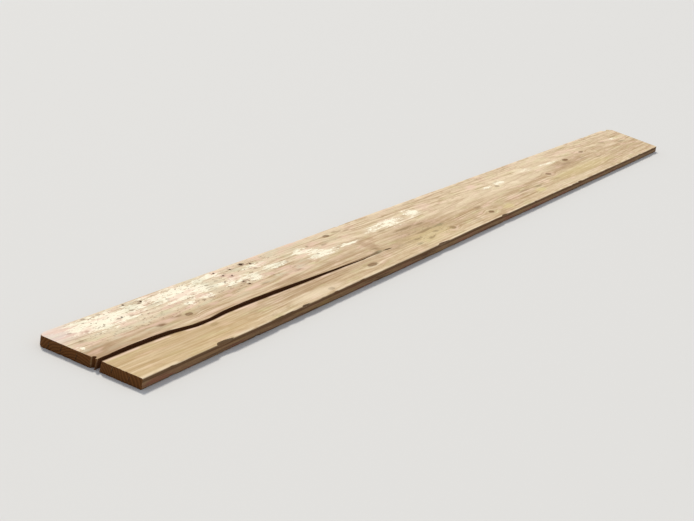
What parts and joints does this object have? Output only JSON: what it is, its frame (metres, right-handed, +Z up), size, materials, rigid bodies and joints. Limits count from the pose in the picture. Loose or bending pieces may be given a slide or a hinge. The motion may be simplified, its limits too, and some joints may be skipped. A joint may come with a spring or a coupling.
{
  "type": "wooden plank",
  "caption": "Wide weathered sawn plank with a long split at one end, worn arrises, nail holes, a bolt hole and a skewed, broken far end.",
  "frame": {"origin": "under the middle of the plank's box, on the underside it lies on", "axes": "+X along the plank from its split near end to its skewed far end, +Y across it from the front edge to the rear edge, +Z up through its thickness"},
  "size_m": [4.1834, 0.305, 0.028],
  "materials": {
    "weathered_wood": "rough-sawn softwood, sun-bleached and dry, with old whitewash worn thin on the upper face"
  },
  "bodies": {
    "root": {"plank": "weathered_wood"}
  },
  "joints": []
}
